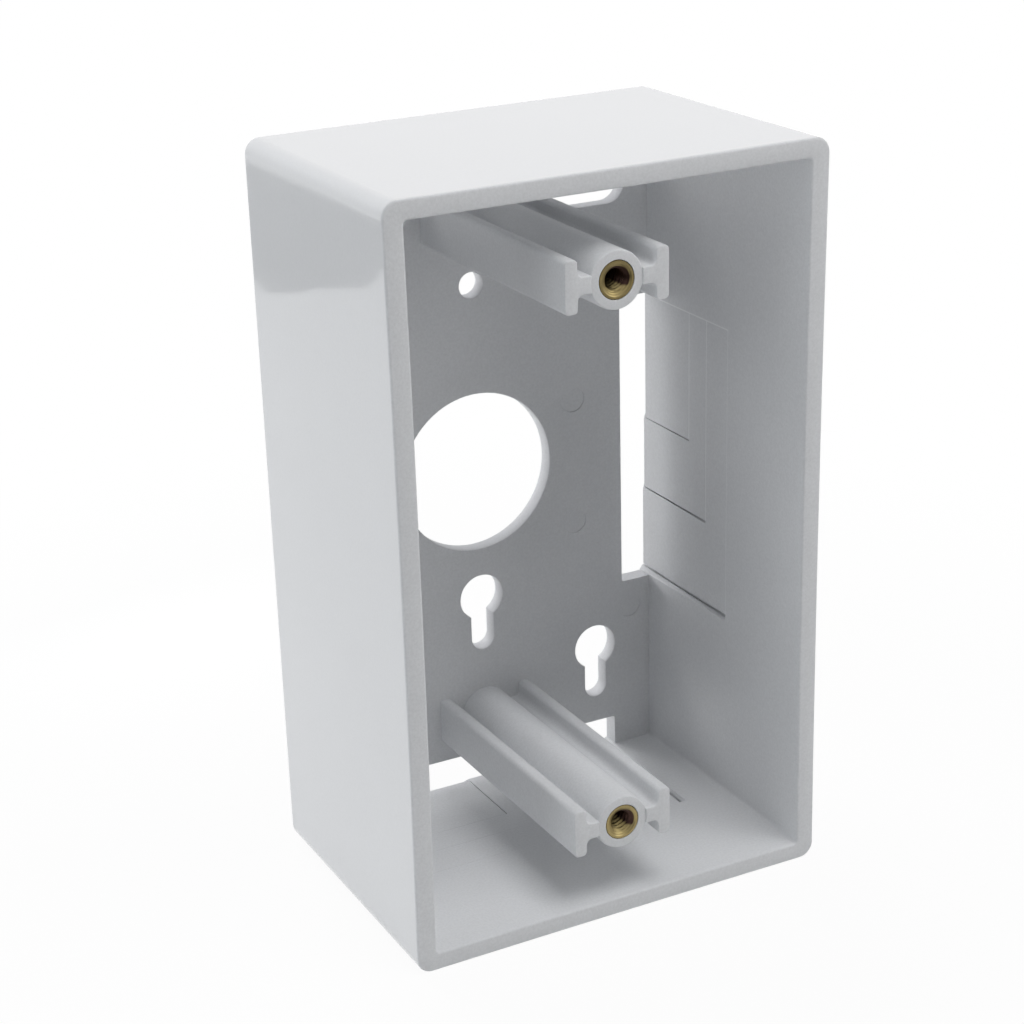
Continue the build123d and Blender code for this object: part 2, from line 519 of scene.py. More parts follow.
@dataclass
class Shell:
    """The four sides of the moulding, as one closed section carried round a rounded rectangle."""

    width: float
    height: float
    depth: float
    outer_draft: float = 0.3
    inner_draft: float = 0.2
    outer_radius: float = 2.4
    inner_radius: float = 0.6
    side_wall: float = 3.05
    end_wall: float = 2.8
    rim_radius: float = 0.35
    back_radius: float = 0.5
    side_bow: float = 0.32
    end_bow: float = 0.1
    corner_steps: int = 10
    edge_steps: int = 5
    outer_rows: int = 14
    inner_rows: int = 16
    line_spacing: float = 4.5
    line_room: float = 0.4
    hold: float = 0.06
    breakouts: Breakouts = field(default_factory=Breakouts)

    def side(
        self, depth: Array, is_inner: Array, size: float, end: Array
    ) -> tuple[Array, Array, Array]:
        """Gives one side's points: its ends, the lines of its break-outs and even ones between.

        Args:
            depth: The depth of each row.
            is_inner: 1 for a row on the inside, and else 0.
            size: The side's whole length at the open front.
            end: Half of its straight length in each row.

        Returns:
            Distances from the side's middle, rising away from the shared score, the cut at each,
            and the painted light of the thin scores there.
        """
        start, half = self.breakouts.start, size / 2 - self.outer_radius
        places, cuts, shifts = self.breakouts.along_lines(depth)
        low, high = places.min(axis=0) - self.line_room, places.max(axis=0) + self.line_room
        count = round(2 * half / self.line_spacing) + 2
        even = np.linspace(start - half, start + half, count)[1:-1]
        is_clear = ((even[:, None] < low) | (even[:, None] > high)).all(axis=1)
        even = np.broadcast_to(even[is_clear], (len(depth), is_clear.sum()))
        order = np.argsort(np.hstack((places, even)).mean(axis=0))
        rows, inner = depth[:, None], is_inner[:, None]
        along = np.hstack((places + shifts * inner, even))[:, order]
        held = np.column_stack((-end, self.hold - end))
        place = np.hstack((held, along - start, -held[:, ::-1]))
        cut = np.pad(np.hstack((cuts, 0 * even))[:, order], ((0, 0), (2, 2)))
        cut = np.maximum(cut, self.breakouts.score_and_bevel(place + start, rows))
        return place, cut * inner, self.breakouts.painted_glow_lines(place + start, rows) * inner

    def rings(
        self,
        depth: Array,
        half_x: Array,
        half_z: Array,
        radius: Array,
        is_inner: Array,
    ) -> Array:
        """Gives one closed rounded rectangle for each row, cut back at the break-outs.

        Args:
            depth: Depths, one for each row.
            half_x: Half widths.
            half_z: Half heights.
            radius: Corner radii.
            is_inner: 1 for a row on the inside, where the break-outs are cut, and else 0.

        Returns:
            The points in rows and columns, with x, z and the painted light of the thin scores
            last.
        """
        z, z_cut, z_painted_glow = self.side(depth, is_inner, self.height, half_z - radius)
        x, x_cut, x_painted_glow = self.side(depth, is_inner, self.width, half_x - radius)
        across, upright = half_x[:, None] + z_cut, half_z[:, None] + x_cut
        middle = np.stack((half_x - radius, half_z - radius, 0 * radius), axis=-1)[:, None]
        angle = quarter_steps(self.corner_steps)[1:-1]
        sides = (
            (across[:, ::-1], -z[:, ::-1], z_painted_glow[:, ::-1], (1, 1, 1)),
            (x[:, ::-1], upright[:, ::-1], x_painted_glow[:, ::-1], (-1, 1, 1)),
            (-across, -z, z_painted_glow, (-1, -1, 1)),
            # The bottom side gets no painted light at its scores, as it lies on the floor with no
            # light behind it.
            (x, -upright, 0 * x_painted_glow, (1, -1, 1)),
        )
        points = []
        for quarter, (x, z, glowing, signs) in enumerate(sides):
            heading = angle + quarter * QUARTER
            ray = np.column_stack((on_circle(heading), 0 * heading))
            corner = middle * signs + radius[:, None, None] * ray
            points += [np.stack((x, z, glowing), axis=-1), corner]
        return np.concatenate(points, axis=1)

    def section(self) -> tuple[Array, Array, Array]:
        """Gives the closed section: up the outside, over the rounded rim and down the inside.

        Returns:
            For each row its depth, how far it is drawn into the wall, and 1 on the inside.
        """
        rise, fall = rounding(self.edge_steps)
        low, high = self.back_radius, self.depth - self.rim_radius
        straight = np.linspace(low, high, self.outer_rows)[1:-1]
        straight = np.concatenate(((low + self.hold,), straight, (high - self.hold,)))
        inside = np.concatenate((np.linspace(0.0, high, self.inner_rows), (high - self.hold,)))
        inside = np.unique(np.round(np.concatenate((inside, self.breakouts.depth_lines())), 4))
        parts = (
            (self.back_radius * rise, self.back_radius * fall, 0.0),
            (straight, 0 * straight, 0.0),
            (self.depth - self.rim_radius * fall, self.rim_radius * rise, 0.0),
            (self.depth - self.rim_radius * rise, self.rim_radius * fall, 1.0),
            (inside[-2::-1], 0 * inside[-2::-1], 1.0),
        )
        depth = np.concatenate([part[0] for part in parts])
        inset = np.concatenate([part[1] for part in parts])
        is_inner = np.concatenate([np.full(len(part[0]), part[2]) for part in parts])
        return depth, inset, is_inner

    def surface(self) -> tuple[Array, Array]:
        """Gives the grid of the whole shell, scored, drafted and slightly bowed.

        Returns:
            Points in rows along the section and columns round the box, and the painted light of
            the thin scores.
        """
        depth, inset, is_inner = self.section()
        lean = 1 - depth / self.depth
        draft = np.where(is_inner > 0, self.inner_draft, self.outer_draft) * lean
        offset = np.where(is_inner > 0, inset, -inset) - draft
        half_x = self.width / 2 - is_inner * self.side_wall + offset
        half_z = self.height / 2 - is_inner * self.end_wall + offset
        base = np.where(is_inner > 0, self.inner_radius, self.outer_radius)
        radius = base + np.where(is_inner > 0, inset, -inset)
        points = self.rings(depth, half_x, half_z, radius, is_inner)
        forwards = np.broadcast_to(depth[:, None], points.shape[:2])
        x, z = points[..., 0], points[..., 1]
        share = forwards / self.depth
        side_sag = (1 - (2 * z / self.height) ** 2) * 2 * x / self.width
        end_sag = (1 - (2 * x / self.width) ** 2) * 2 * z / self.height
        x = x - self.side_bow * share * side_sag
        z = z - self.end_bow * share * end_sag
        return np.stack((x, -forwards, z), axis=-1), points[..., 2]

    def build(self, dressing: Material) -> None:
        """Builds the four sides as one piece.

        Args:
            dressing: Its material.
        """
        mesh = SurfaceMesh("side_walls")
        grid, painted_glow = self.surface()
        mesh.add_grid(grid, wrap_rows=True, painted_glow=painted_glow)
        mesh.build(dressing, Slot.PLASTIC, Node.BODY)


@dataclass
class BackWall:
    """The back wall, a plate with its cable hole, screw holes, keyholes, windows and entries."""

    half_x: float
    half_z: float
    thickness: float = 2.8
    edge_radius: float = 0.18
    cable_hole_radius: float = 13.0
    screw_hole: Triple = (0.0, 30.5, 2.05)
    keyholes: tuple[Pair, ...] = ((0.0, -21.4), (-20.9, -35.2), (20.9, -35.2))
    keyhole_radius: float = 3.8
    keyhole_half_slot: float = 2.0
    keyhole_drop: float = 7.1
    head_steps: int = 36
    window: tuple[float, float, float, float] = (10.4, 27.2, 39.9, 47.1)
    window_radius: float = 3.0
    entry_width: float = 5.2
    entry_half_length: float = 24.5
    notch_radius: float = 0.35
    corner_radius: float = 0.58
    pin_marks: tuple[Pair, ...] = ((17.4, 9.0), (17.4, -11.8), (27.6, -29.0))
    pin_mark_radius: float = 2.1
    pin_mark_depth: float = 0.17
    pin_mark_edge: float = 0.05
    small_steps: int = 40
    large_steps: int = 96
    corner_steps: int = 5
    window_steps: int = 10

    def outside(self) -> Array:
        """Gives the plate's outline, notched at the four raceway entries.

        One corner is written out, from notch to notch, and the others are its mirror images.

        Returns:
            The outline's points.
        """
        x, z, half = self.half_x, self.half_z, self.entry_half_length
        near_x, near_z = x - self.entry_width, z - self.entry_width
        corner = np.array(((near_x, half), (x, half), (x, z), (half, z), (half, near_z)))
        notch = self.notch_radius
        radii = np.array((notch, CRISP, self.corner_radius, CRISP, notch))
        mirrored = ((1, 1, 1), (-1, 1, -1), (-1, -1, 1), (1, -1, -1))
        corners = [corner[::order] * (sign_x, sign_z) for sign_x, sign_z, order in mirrored]
        return filleted_outline(np.vstack(corners), np.tile(radii, 4), self.corner_steps)

    def keyhole(self, centre: Pair) -> Array:
        """Gives a keyhole: a round head, and a slot below it with a round end.

        Args:
            centre: x and z of the head's centre.

        Returns:
            The outline's points.
        """
        half = self.keyhole_half_slot
        meet = np.arcsin(half / self.keyhole_radius)
        head = np.linspace(-QUARTER + meet, 3 * QUARTER - meet, self.head_steps)
        foot = np.linspace(np.pi, TURN, self.head_steps // 2)
        top = self.keyhole_radius * on_circle(head)
        end = half * on_circle(foot) - (0.0, self.keyhole_drop)
        return np.array(centre) + np.vstack((top, end))

    def windows(self) -> list[Array]:
        """Gives the two rounded windows beside the upper post.

        Returns:
            The outline of each.
        """
        low_x, high_x, low_z, high_z = self.window
        corners = np.array(((low_x, low_z), (high_x, low_z), (high_x, high_z), (low_x, high_z)))
        right = filleted_outline(corners, np.full(4, self.window_radius), self.window_steps)
        return [right, right * (-1.0, 1.0)]

    def holes(self) -> list[Array]:
        """Gives all the holes inside the plate.

        Returns:
            The outline of each.
        """
        x, z, radius = self.screw_hole
        return [
            circle_outline((0.0, 0.0), self.cable_hole_radius, self.large_steps),
            circle_outline((x, z), radius, self.small_steps),
            *[self.keyhole(centre) for centre in self.keyholes],
            *self.windows(),
        ]

    def build(self, dressing: Material) -> None:
        """Builds the plate with rounded hole edges, and the marks of the ejector pins.

        Args:
            dressing: Its material.
        """
        mesh = SurfaceMesh("back_wall")
        mesh.add_grid(extruded_rows(self.outside(), 0.0, self.thickness, 0.0, 0.0, steps=2))
        edge = self.edge_radius
        for hole in self.holes():
            mesh.add_grid(extruded_rows(hole, 0.0, self.thickness, edge, edge, is_hole=True))
        depths = (self.thickness - self.pin_mark_depth, self.thickness)
        for x, z in self.pin_marks:
            for side in (-1.0, 1.0):
                mark = circle_outline((side * x, z), self.pin_mark_radius, self.small_steps)
                rows = extruded_rows(mark, *depths, 0.0, self.pin_mark_edge, True, steps=3)
                mesh.add_grid(rows)
        mesh.build(dressing, Slot.PLASTIC, Node.BODY)


@dataclass
class ScrewPost:
    """One screw post: a tube with a ring at its end, and a web and flange on either side."""

    name: str
    height: float
    base: float
    top: float
    rib_rise: float = 0.22
    radius: float = 4.2
    collar_radius: float = 4.1
    collar_corner: float = 0.2
    pocket_radius: float = 2.82
    pocket_length: float = 9.5
    pocket_edge: float = 0.04
    room_radius: float = 2.0
    room_depth: float = 26.0
    flange_reach: float = 8.2
    flange_thickness: float = 2.0
    flange_half: float = 3.8
    web_half: float = 1.25
    web_fillet: float = 0.9
    flange_corner: float = 0.65
    end_radius: float = 0.22
    rib_edge: float = 0.18
    root: float = 0.2
    columns: int = 72
    ring_steps: int = 5
    fillet_steps: int = 7

    def tube_profile(self) -> Array:
        """Gives the tube's section from its foot, over the ring and down to the blind end.

        Returns:
            The section's points, one row of radius and depth each.
        """
        rise, fall = rounding(self.ring_steps)
        edge = self.end_radius
        foot = self.base - self.root
        outside = np.column_stack((self.radius - edge * rise, self.top - edge * fall))
        mouth = self.pocket_edge
        inside = np.array(
            (
                (self.pocket_radius + mouth, self.top),
                (self.pocket_radius, self.top - mouth),
                (self.pocket_radius, self.top - self.pocket_length),
                (self.room_radius, self.top - self.pocket_length),
                (self.room_radius, self.top - self.room_depth),
                (0.0, self.top - self.room_depth),
            )
        )
        start = np.array(((0.0, foot), (self.radius, foot)))
        return np.vstack((start, outside, inside))

    def rib_outline(self) -> Array:
        """Gives the right web and flange, whose inner end follows the ring inside its edge.

        Returns:
            The outline's points.
        """
        reach = self.flange_reach
        near = reach - self.flange_thickness
        web, half = self.web_half, self.flange_half
        angle = np.linspace(0.0, np.arcsin(web / self.collar_radius), self.ring_steps)[1:]
        collar = self.collar_radius * on_circle(-angle)
        lower = np.vstack((collar, ((near, -web), (near, -half), (reach, -half))))
        corners = np.vstack((lower, lower[::-1] * (1, -1)))
        radii = [CRISP] * 3 + [self.collar_corner, self.web_fillet] + [self.flange_corner] * 2
        return filleted_outline(corners, np.array(radii + radii[::-1]), self.fillet_steps)

    def build(self, dressing: Material) -> None:
        """Builds the tube and its two ribs as one piece.

        Args:
            dressing: Its material.
        """
        mesh = SurfaceMesh(self.name)
        profile = self.tube_profile()
        mesh.add_grid(turned(profile[:, :1], profile[:, 1:], self.height, self.columns))
        rib = self.rib_outline()
        foot, rib_top = self.base - self.root, self.top + self.rib_rise
        for side in (1.0, -1.0):
            outline = rib * (side, 1.0) + (0.0, self.height)
            mesh.add_grid(extruded_rows(outline, foot, rib_top, 0.0, self.rib_edge))
        mesh.build(dressing, Slot.PLASTIC, Node.BODY)


@dataclass
class BrassInsert:
    """A turned insert: two knurled bands with a neck between them, and a coarse inner thread."""

    name: str
    height: float
    top: float
    replaced: Node
    radius: float = 2.8
    length: float = 9.5
    neck_radius: float = 2.45
    neck_length: float = 1.2
    knurl_depth: float = 0.14
    knurl_teeth: int = 32
    major_radius: float = 1.75
    minor_radius: float = 1.42
    pitch: float = 0.794
    mouth_depth: float = 0.68
    mouth_radii: Pair = (2.38, 1.5)
    ring_pitch: float = 0.226
    ring_depth: float = 0.06
    face_chamfer: float = 0.1
    crest_slope: float = 1.3
    crest_start: float = 0.12
    columns: int = 128
    band_rows: int = 7
    bore_rows: int = 169
    sharp_angle: float = 20.0

    def thread_radius(self, angle: Array, depth: Array) -> Array:
        """Gives the bore's radius: a V that climbs one pitch a turn, inside two turned cones.

        Each cone has a few fine rings, a triangle wave of the distance from its mouth.

        Args:
            angle: Angle round the bore.
            depth: Distance below the face.

        Returns:
            The radius at each point.
        """
        phase = (depth / self.pitch + angle / TURN) % 1.0
        rise = 1 - np.abs(2 * phase - 1)
        crest = np.clip(rise * self.crest_slope - self.crest_start, 0.0, 1.0)
        thread = self.minor_radius + (self.major_radius - self.minor_radius) * crest
        near_mouth = np.minimum(depth, self.length - depth)
        cone = np.interp(near_mouth, (0.0, self.mouth_depth), self.mouth_radii)
        ring = np.abs(2 * ((near_mouth / self.ring_pitch) % 1.0) - 1)
        return np.maximum(thread, cone - self.ring_depth * (1 - ring))

    def surface(self) -> Array:
        """Gives the closed surface, up the outside and down the bore.

        Depths are counted down from the face here. The knurl is a triangle wave round the bands.

        Returns:
            A grid of points, one row for each depth.
        """
        angle = np.linspace(0.0, TURN, self.columns, endpoint=False)[None, :]
        neck_start = (self.length - self.neck_length) / 2
        band = np.linspace(self.face_chamfer, neck_start, self.band_rows)[:, None]
        tooth = np.abs(((angle * self.knurl_teeth / TURN) % 1.0) * 2 - 1)
        knurled = self.radius - self.knurl_depth * tooth + 0 * band
        plain = np.ones_like(angle)
        face = (self.radius - self.face_chamfer) * plain
        neck = self.neck_radius * np.vstack((plain, plain))
        bore_depth = np.linspace(0.0, self.length, self.bore_rows)[:, None]
        bore = self.thread_radius(angle, bore_depth)
        ends = np.array(((0.0,), (self.length,)))
        neck_depth = np.array(((neck_start + self.neck_length,), (neck_start,)))
        depth = np.vstack(
            (ends[1:], self.length - band, neck_depth, band[::-1], ends[:1], bore_depth)
        )
        radius = np.vstack((face, knurled, neck, knurled, face, bore))
        return turned(radius, self.top - depth, self.height, self.columns)

    def build(self, dressing: Material) -> None:
        """Builds the insert.

        Args:
            dressing: Its material.
        """
        mesh = SurfaceMesh(self.name, sharp_angle=self.sharp_angle)
        mesh.add_grid(self.surface(), wrap_rows=True)
        mesh.build(dressing, Slot.BRASS, self.replaced)


class ShaderTree:
    """One shader tree, with short calls that add, fill and link its nodes."""

    def __init__(self, tree: NodeTree) -> None:
        """Takes the tree that gets the nodes."""
        self.tree = tree

    @classmethod
    def cleared(cls, owner: Material | bpy.types.World) -> "ShaderTree":
        """Empties the tree of a material or world.

        Args:
            owner: The material or world.

        Returns:
            Its tree, with nothing in it.
        """
        owner.use_nodes = True
        owner.node_tree.nodes.clear()
        return cls(owner.node_tree)

    def fill(self, node: bpy.types.Node, inputs: dict) -> None:
        """Fills inputs of a node.

        Args:
            node: The node.
            inputs: For each input, by name or number, a socket to link or a value to set.
        """
        for label, value in inputs.items():
            if isinstance(value, Socket):
                self.tree.links.new(value, node.inputs[label])
            else:
                node.inputs[label].default_value = value

    def add(self, kind: str, inputs: dict | None = None, **settings: object) -> bpy.types.Node:
        """Adds a node.

        Args:
            kind: Its type name after ShaderNode.
            inputs: What its inputs get, as in fill.
            **settings: Properties of the node.

        Returns:
            The node.
        """
        node = self.tree.nodes.new(f"ShaderNode{kind}")
        for label, value in settings.items():
            setattr(node, label, value)
        self.fill(node, inputs or {})
        return node

    def math(self, operation: str, *values: Value) -> Socket:
        """Gives the result of an operation on sockets or numbers."""
        return self.add("Math", dict(enumerate(values)), operation=operation).outputs[0]

    def ramp(
        self,
        value: Value,
        target: Sequence = (0.0, 1.0),
        source: Sequence = (0.0, 1.0),
        is_smooth: bool = False,
    ) -> Socket:
        """Gives a number that goes from one end of target to the other as value crosses source.

        Args:
            value: The socket that is followed.
            target: Result at each end.
            source: Value at each end, past which the result stays.
            is_smooth: Whether it eases in and out in place of a straight line.

        Returns:
            The result.
        """
        labels = ("To Min", "To Max", "From Min", "From Max")
        inputs = {"Value": value, **dict(zip(labels, (*target, *source)))}
        way = "SMOOTHSTEP" if is_smooth else "LINEAR"
        return self.add("MapRange", inputs, interpolation_type=way).outputs["Result"]

    def blend(self, share: Value, first: Value, second: Value, way: str = "MIX") -> Socket:
        """Blends two colours.

        Args:
            share: 0 for the first colour alone and 1 for the full blend.
            first: A socket, or red, green and blue.
            second: The same.
            way: Name of the blend.

        Returns:
            The blended colour.
        """
        tones = [(*tone, 1.0) if isinstance(tone, tuple) else tone for tone in (first, second)]
        inputs = {0: share, 6: tones[0], 7: tones[1]}
        return self.add("Mix", inputs, data_type="RGBA", blend_type=way).outputs[2]

    def seen(self, share: Value) -> Socket:
        """Limits a value to rays that are seen directly, in gloss or through glass.

        Args:
            share: What those rays get.

        Returns:
            That value for them, and 0 for all other rays.
        """
        path = self.add("LightPath").outputs
        direct = self.math("MAXIMUM", path["Is Camera Ray"], path["Is Glossy Ray"])
        either = self.math("MAXIMUM", direct, path["Is Transmission Ray"])
        return self.math("MULTIPLY", either, share)


def unevenness_group() -> NodeTree:
    """Makes the group for the faint unevenness of a finished surface.

    Tone is a slow drift from 0 to 1, Grain a fine speckle from 0 to 1, and Height adds a long
    ripple to the speckle for a bump.

    Returns:
        The group's tree.
    """
    group = bpy.data.node_groups.new("surface_unevenness", "ShaderNodeTree")
    sockets = {"Position": ("INPUT", "NodeSocketVector")}
    sockets |= {label: ("INPUT", "NodeSocketFloat") for label in UNEVENNESS_INPUTS}
    sockets |= {label: ("OUTPUT", "NodeSocketFloat") for label in UNEVENNESS_OUTPUTS}
    for label, (in_out, kind) in sockets.items():
        group.interface.new_socket(name=label, in_out=in_out, socket_type=kind)
    nodes = ShaderTree(group)
    position, drift_scale, grain_scale, ripple, *_ = group.nodes.new("NodeGroupInput").outputs
    drift = nodes.add(
        "TexNoise", {"Vector": position, "Scale": drift_scale, "Detail": 3.0}
    ).outputs["Fac"]
    grain = nodes.add(
        "TexNoise", {"Vector": position, "Scale": grain_scale, "Detail": 4.0, "Roughness": 0.6}
    ).outputs["Fac"]
    height = nodes.math("ADD", nodes.math("MULTIPLY", drift, ripple), grain)
    results = dict(zip(UNEVENNESS_OUTPUTS, (drift, grain, height)))
    nodes.fill(group.nodes.new("NodeGroupOutput"), results)
    return group


class FinishTree(ShaderTree):
    """The tree of a finish, with its shader and the surface's unevenness ready.

    Attributes:
        material: The finish's material.
        shader: Its principled shader.
        parts: Outputs with the x, y and z of the piece's own coordinates.
        uneven: Outputs of the unevenness group.
    """

    def __init__(self, name: str, unevenness: NodeTree, scales: Triple) -> None:
        """Makes the material.

        Args:
            name: Its name.
            unevenness: The shared group for uneven surfaces.
            scales: The group's drift scale, grain scale and ripple.
        """
        self.material = bpy.data.materials.new(name)
        self.material.use_nodes = True
        super().__init__(self.material.node_tree)
        self.shader = self.tree.nodes["Principled BSDF"]
        position = self.add("TexCoord").outputs["Object"]
        self.parts = self.add("SeparateXYZ", {0: position}).outputs
        inputs = {"Position": position, **dict(zip(UNEVENNESS_INPUTS, scales))}
        self.uneven = self.add("Group", inputs, node_tree=unevenness).outputs

    def bump(self, distance: float, strength: Value) -> Socket:
        """Gives the normal of the uneven surface.

        Args:
            distance: Height of the unevenness, in metres.
            strength: How far it counts.

        Returns:
            The normal.
        """
        inputs = {"Height": self.uneven["Height"], "Distance": distance, "Strength": strength}
        return self.add("Bump", inputs).outputs["Normal"]


@dataclass(frozen=True)
class MouldedPlastic:
    """White plastic from a mould that is polished outside and finely etched inside.

    Attributes:
        wall_middle: x and z of the middle of the walls, in metres, past which it is polished.
        rim: y of the front rim, in metres, from where it is etched.
        painted_glow_tone: Painted light: the lighter colour where light would come through a thin
            wall.
        speckle: How far the speckle changes the colour, etched and polished.
        grain_range: Values of the grain from which the speckle runs.
        relief: Strength of the bump, etched and polished.
    """

    wall_middle: Pair
    rim: float
    name: str = "moulded_white_plastic"
    unevenness: Triple = (45.0, 2600.0, 2.0)
    light_tone: Triple = (0.79, 0.80, 0.815)
    dark_tone: Triple = (0.755, 0.765, 0.78)
    painted_glow_tone: Triple = (0.97, 0.98, 0.99)
    speckle: Pair = (0.045, 0.018)
    grain_range: Pair = (0.3, 0.7)
    polished_roughness: Pair = (0.28, 0.36)
    etched_roughness: Pair = (0.46, 0.60)
    refraction: float = 1.5
    coat: float = 0.8
    coat_roughness: float = 0.045
    bump: float = 0.00003
    relief: Pair = (0.6, 0.2)

    def polish(self, tree: FinishTree) -> Socket:
        """Finds the polished places, outside the middle of the walls and behind the rim.

        Args:
            tree: The finish's tree.

        Returns:
            1 there, and 0 elsewhere.
        """
        past = [
            tree.math("GREATER_THAN", tree.math("ABSOLUTE", tree.parts[axis]), middle)
            for axis, middle in zip("XZ", self.wall_middle)
        ]
        behind = tree.math("GREATER_THAN", tree.parts["Y"], self.rim)
        return tree.math("MULTIPLY", tree.math("MAXIMUM", *past), behind)

    def material(self, unevenness: NodeTree) -> Material:
        """Makes the material.

        Args:
            unevenness: The shared group for uneven surfaces.

        Returns:
            The material.
        """
        tree = FinishTree(self.name, unevenness, self.unevenness)
        uneven, polish = tree.uneven, self.polish(tree)
        tone = tree.blend(uneven["Tone"], self.dark_tone, self.light_tone)
        speckle = tree.ramp(polish, self.speckle)
        limits = [tree.math(way, 1.0, speckle) for way in ("SUBTRACT", "ADD")]
        shade = tree.ramp(uneven["Grain"], limits, self.grain_range)
        speckled = tree.blend(1.0, tone, shade, "MULTIPLY")
        # Painted light: the thin scores get a lighter base colour, standing in for light coming
        # through them.
        painted_glow = tree.add("Attribute", attribute_name=PAINTED_GLOW).outputs["Fac"]
        roughness = [
            tree.ramp(polish, ends) for ends in zip(self.etched_roughness, self.polished_roughness)
        ]
        sockets = {
            "Base Color": tree.blend(painted_glow, speckled, self.painted_glow_tone),
            "Roughness": tree.ramp(uneven["Tone"], roughness),
            "Coat Weight": tree.math("MULTIPLY", polish, self.coat),
            "Normal": tree.bump(self.bump, tree.ramp(polish, self.relief)),
            "IOR": self.refraction,
            "Coat Roughness": self.coat_roughness,
        }
        tree.fill(tree.shader, sockets)
        return tree.material


@dataclass(frozen=True)
class TurnedBrass:
    """Turned brass, tarnished in patches, with painted shade down its bore that spares its lower
    side.

    Attributes:
        lit_y: y down to which the bore has no painted shade, in metres.
        shaded_y: y from which the bore is painted dark as shade.
        axis_z: How far above and below the middle the bores lie.
        unshaded_z: Heights from a bore's axis up to which its lower side is left without painted
            shade, so it keeps its glints.
        shade_lean: How much nearer to the face the painted shade starts for each unit of x.
    """

    lit_y: float
    shaded_y: float
    axis_z: float
    unshaded_z: Pair = (-0.00125, -0.00085)
    shade_lean: float = 0.12
    name: str = "turned_brass"
    unevenness: Triple = (700.0, 6000.0, 0.6)
    bright: Triple = (0.40, 0.31, 0.13)
    dull: Triple = (0.22, 0.182, 0.09)
    # Painted shade: the dark colour painted down the bores.
    painted_shade: Triple = (0.05, 0.026, 0.02)
    roughness: Pair = (0.22, 0.42)
    metallic: float = 0.85
    bump: float = 0.00002
    relief: float = 0.5

    def material(self, unevenness: NodeTree) -> Material:
        """Makes the material.

        Args:
            unevenness: The shared group for uneven surfaces.

        Returns:
            The material.
        """
        tree = FinishTree(self.name, unevenness, self.unevenness)
        parts, uneven = tree.parts, tree.uneven
        # Painted shade down the bore: it starts nearer the face towards +x and is left off the
        # lower side.
        leaning = tree.math("MULTIPLY_ADD", parts["X"], self.shade_lean, parts["Y"])
        deep = tree.ramp(leaning, source=(self.lit_y, self.shaded_y), is_smooth=True)
        level = tree.math("WRAP", parts["Z"], 0.0, -2 * self.axis_z)
        unshaded = [height - self.axis_z for height in self.unshaded_z]
        painted_shade = tree.math("MULTIPLY", deep, tree.ramp(level, source=unshaded, is_smooth=True))
        metal = tree.blend(uneven["Tone"], self.dull, self.bright)
        sockets = {
            "Base Color": tree.blend(painted_shade, metal, self.painted_shade),
            "Roughness": tree.ramp(uneven["Grain"], self.roughness),
            "Normal": tree.bump(self.bump, self.relief),
            "Metallic": self.metallic,
        }
        tree.fill(tree.shader, sockets)
        return tree.material


@dataclass(frozen=True)
class SoftLamp:
    """A square soft lamp that looks at the middle of the box, and may show in gloss."""

    name: str
    place: Triple
    size: float
    power: float
    tint: Triple = (1.0, 1.0, 1.0)
    is_mirrored: bool = False

    def hang(self) -> None:
        """Adds the lamp to the scene."""
        data = bpy.data.lights.new(self.name, "AREA")
        data.size = self.size * MM
        data.energy = self.power
        data.color = self.tint
        lamp = add_object(self.name, data)
        lamp.visible_camera = False
        lamp.visible_glossy = self.is_mirrored
        lamp.location = Vector(self.place) * MM
        lamp.rotation_euler = (-lamp.location).to_track_quat("-Z", "Y").to_euler()


def flat_mesh(name: str, corners: Sequence, material: Material) -> bpy.types.Mesh:
    """Makes a mesh of one flat face.

    Args:
        name: Name of the mesh.
        corners: Its corners in order.
        material: Its material.

    Returns:
        The mesh.
    """
    mesh = bpy.data.meshes.new(name)
    points = [Vector(corner) * MM for corner in corners]
    mesh.from_pydata(points, [], [tuple(range(len(corners)))])
    mesh.materials.append(material)
    return mesh


def level_rectangle(across: Pair, along: Pair, level: float) -> tuple[Triple, ...]:
    """Gives the corners of a level rectangle.

    Args:
        across: Its lowest and highest x.
        along: Its lowest and highest y.
        level: Its z.

    Returns:
        The four corners, in order.
    """
    (left, right), (front, back) = across, along
    outline = ((left, front), (right, front), (right, back), (left, back))
    return tuple((x, y, level) for x, y in outline)


